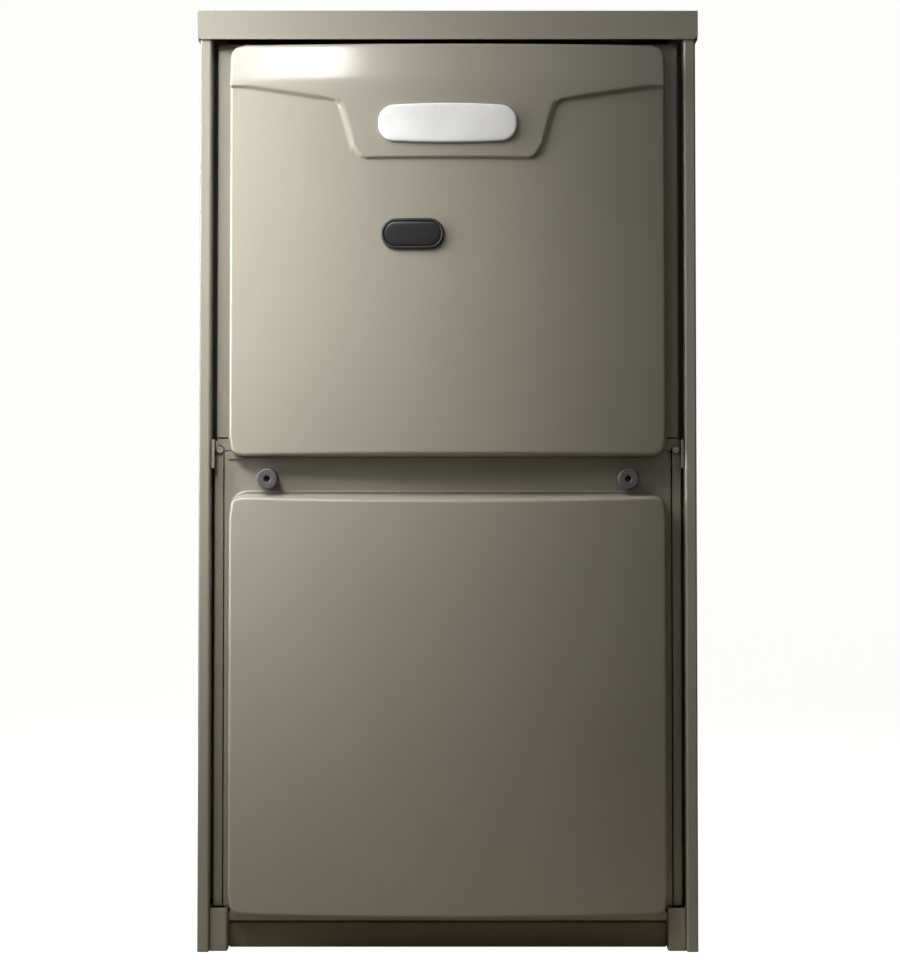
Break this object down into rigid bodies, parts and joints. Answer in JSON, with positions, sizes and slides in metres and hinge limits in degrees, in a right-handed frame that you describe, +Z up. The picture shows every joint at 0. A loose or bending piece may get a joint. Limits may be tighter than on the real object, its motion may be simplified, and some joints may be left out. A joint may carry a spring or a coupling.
{
  "type": "forced air gas furnace",
  "caption": "Upflow gas furnace in a painted sheet cabinet with two bowed lift-off doors over its burners, heat exchanger, inducer and blower.",
  "frame": {"origin": "centre of the footprint on the floor", "axes": "+Z up, -Y out of the front doors, +X to the viewer's right when facing the doors"},
  "size_m": [0.448, 0.7315, 0.86],
  "materials": {
    "cabinet_paint": "satin enamel",
    "dark_paint": "satin enamel",
    "galvanised_sheet": "spangled zinc",
    "zinc_screw": "zinc plated",
    "insulation": "foil faced glass fibre",
    "burner_steel": "stamped",
    "sight_glass": "clear",
    "black_pipe": "black",
    "valve_aluminium": "die cast",
    "red_plastic": "moulded",
    "ceramic": "matt",
    "aluminised_steel": "dull",
    "stainless": "bright",
    "fin_aluminium": "bright",
    "black_plastic": "moulded",
    "motor_black": "baked enamel",
    "hose_rubber": "silicone",
    "white_pvc": "smooth",
    "grey_plastic": "moulded",
    "green_board": "laminate",
    "transformer_steel": "varnished",
    "white_plastic": "moulded",
    "black_rubber": "matt",
    "badge_white": "blank",
    "window_black": "smooth",
    "knob_grey": "moulded"
  },
  "bodies": {
    "furnace": {"cabinet_left_side": "cabinet_paint", "cabinet_right_side": "cabinet_paint", "cabinet_back": "cabinet_paint", "top_cap": "cabinet_paint", "corner_brackets": "cabinet_paint", "door_frames": "cabinet_paint", "retainer_clips": "cabinet_paint", "base_rail": "dark_paint", "supply_duct_flange": "galvanised_sheet", "base_pan": "galvanised_sheet", "vestibule_panel": "galvanised_sheet", "blower_deck": "galvanised_sheet", "burner_box": "galvanised_sheet", "rollout_switch": "galvanised_sheet", "limit_switch": "galvanised_sheet", "blower_housing": "galvanised_sheet", "motor_mount": "galvanised_sheet", "control_box": "galvanised_sheet", "junction_box": "galvanised_sheet", "cabinet_screws": "zinc_screw", "insulation_liner": "insulation", "burners": "burner_steel", "burner_sight_glass": "sight_glass", "gas_manifold": "black_pipe", "gas_valve": "valve_aluminium", "igniter": "ceramic", "flame_sensor": "ceramic", "heat_exchanger_tubes": "aluminised_steel", "hot_header": "aluminised_steel", "secondary_coil": "fin_aluminium", "cold_end_header": "black_plastic", "inducer_housing": "black_plastic", "pressure_switch": "black_plastic", "door_switch": "black_plastic", "inducer_motor": "motor_black", "blower_motor": "motor_black", "pressure_hose": "hose_rubber", "vent_pipes": "white_pvc", "vent_collars": "white_pvc", "condensate_trap": "grey_plastic", "control_board": "green_board", "transformer": "transformer_steel", "wire_harness": "black_rubber", "grommets_and_plugs": "black_rubber"},
    "upper_door": {"upper_door_panel": "cabinet_paint", "upper_door_insulation": "insulation", "badge_plate": "badge_white", "window_bezel": "window_black", "window_lens": "window_black"},
    "lower_door": {"lower_door_panel": "cabinet_paint", "lower_door_insulation": "insulation"},
    "left_knob": {"left_knob": "knob_grey"},
    "right_knob": {"right_knob": "knob_grey"},
    "blower_rotor": {"blower_wheel": "burner_steel", "blower_shaft": "stainless"},
    "inducer_rotor": {"inducer_wheel": "burner_steel", "inducer_cooling_fan": "black_plastic"},
    "gas_switch": {"gas_valve_switch": "red_plastic"},
    "reset_button": {"rollout_reset_button": "red_plastic"},
    "switch_plunger": {"door_switch_plunger": "white_plastic"}
  },
  "joints": [
    {"name": "upper_door_pull", "type": "slide", "parent": "furnace", "child": "upper_door", "axis": [0, -1, 0], "range_m": [0, 0.3]},
    {"name": "lower_door_pull", "type": "slide", "parent": "furnace", "child": "lower_door", "axis": [0, -1, 0], "range_m": [0, 0.3]},
    {"name": "left_knob_turn", "type": "hinge", "parent": "lower_door", "child": "left_knob", "pos_m": [-0.1604, -0.33625, 0.4184], "axis": [0, 1, 0], "range_deg": [0, 90]},
    {"name": "right_knob_turn", "type": "hinge", "parent": "lower_door", "child": "right_knob", "pos_m": [0.1604, -0.33625, 0.4184], "axis": [0, 1, 0], "range_deg": [0, 90]},
    {"name": "blower_spin", "type": "hinge", "parent": "furnace", "child": "blower_rotor", "pos_m": [0, 0.08875, 0.215], "axis": [1, 0, 0], "continuous": true},
    {"name": "inducer_spin", "type": "hinge", "parent": "furnace", "child": "inducer_rotor", "pos_m": [0.112, -0.23125, 0.52], "axis": [0, 1, 0], "continuous": true},
    {"name": "gas_switch_turn", "type": "hinge", "parent": "furnace", "child": "gas_switch", "pos_m": [-0.164, -0.28125, 0.584], "axis": [0, 1, 0], "range_deg": [0, 90]},
    {"name": "reset_button_press", "type": "slide", "parent": "furnace", "child": "reset_button", "axis": [0, 0, -1], "range_m": [0, 0.0015], "stiffness_N_per_m": 300},
    {"name": "switch_plunger_press", "type": "slide", "parent": "furnace", "child": "switch_plunger", "axis": [0, 1, 0], "range_m": [0, 0.004], "stiffness_N_per_m": 200}
  ]
}
